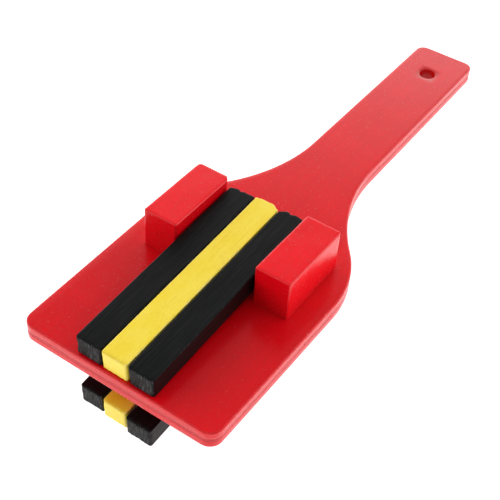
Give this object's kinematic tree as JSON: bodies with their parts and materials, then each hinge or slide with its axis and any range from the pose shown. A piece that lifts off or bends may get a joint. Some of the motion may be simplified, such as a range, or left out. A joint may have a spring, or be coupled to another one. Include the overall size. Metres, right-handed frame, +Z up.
{
  "type": "wooden hand clapper",
  "caption": "Painted wooden paddle with swinging bars on both faces that clap against it when the handle is shaken.",
  "frame": {"origin": "centre of the bounding box's base, on the surface that the clapper stands on", "axes": "+Y along the handle, from the panel's front edge to the handle's end, +X across to the right, +Z up, square to the panel"},
  "size_m": [0.081, 0.2364, 0.0408],
  "materials": {
    "paddle_red": "satin red paint over smooth plywood",
    "block_red": "satin red paint over sanded wood",
    "bar_black": "thin black paint, with the grain showing",
    "bar_yellow": "thin yellow paint, with the grain showing",
    "pin_steel": "plain drawn wire"
  },
  "bodies": {
    "paddle": {"paddle": "paddle_red", "upper_left_block": "block_red", "upper_right_block": "block_red", "lower_left_block": "block_red", "lower_right_block": "block_red", "upper_pin": "pin_steel", "lower_pin": "pin_steel"},
    "upper_left_bar": {"upper_left_bar": "bar_black"},
    "upper_centre_bar": {"upper_centre_bar": "bar_yellow"},
    "upper_right_bar": {"upper_right_bar": "bar_black"},
    "lower_left_bar": {"lower_left_bar": "bar_black"},
    "lower_centre_bar": {"lower_centre_bar": "bar_yellow"},
    "lower_right_bar": {"lower_right_bar": "bar_black"}
  },
  "joints": [
    {"name": "upper_left_bar_swing", "type": "hinge", "parent": "paddle", "child": "upper_left_bar", "pos_m": [-0.0107, -0.04595, 0.0324], "axis": [-1, 0, 0], "range_deg": [0, 17.7]},
    {"name": "upper_centre_bar_swing", "type": "hinge", "parent": "paddle", "child": "upper_centre_bar", "pos_m": [0, -0.04595, 0.0324], "axis": [-1, 0, 0], "range_deg": [0, 17.7]},
    {"name": "upper_right_bar_swing", "type": "hinge", "parent": "paddle", "child": "upper_right_bar", "pos_m": [0.0107, -0.04595, 0.0324], "axis": [-1, 0, 0], "range_deg": [0, 17.7]},
    {"name": "lower_left_bar_swing", "type": "hinge", "parent": "paddle", "child": "lower_left_bar", "pos_m": [-0.01055, -0.04595, 0.0084], "axis": [1, 0, 0], "range_deg": [-6.6, 10.9]},
    {"name": "lower_centre_bar_swing", "type": "hinge", "parent": "paddle", "child": "lower_centre_bar", "pos_m": [-0.0002, -0.04595, 0.0084], "axis": [1, 0, 0], "range_deg": [-6.6, 11]},
    {"name": "lower_right_bar_swing", "type": "hinge", "parent": "paddle", "child": "lower_right_bar", "pos_m": [0.01065, -0.04595, 0.0084], "axis": [1, 0, 0], "range_deg": [-6.5, 11]}
  ]
}
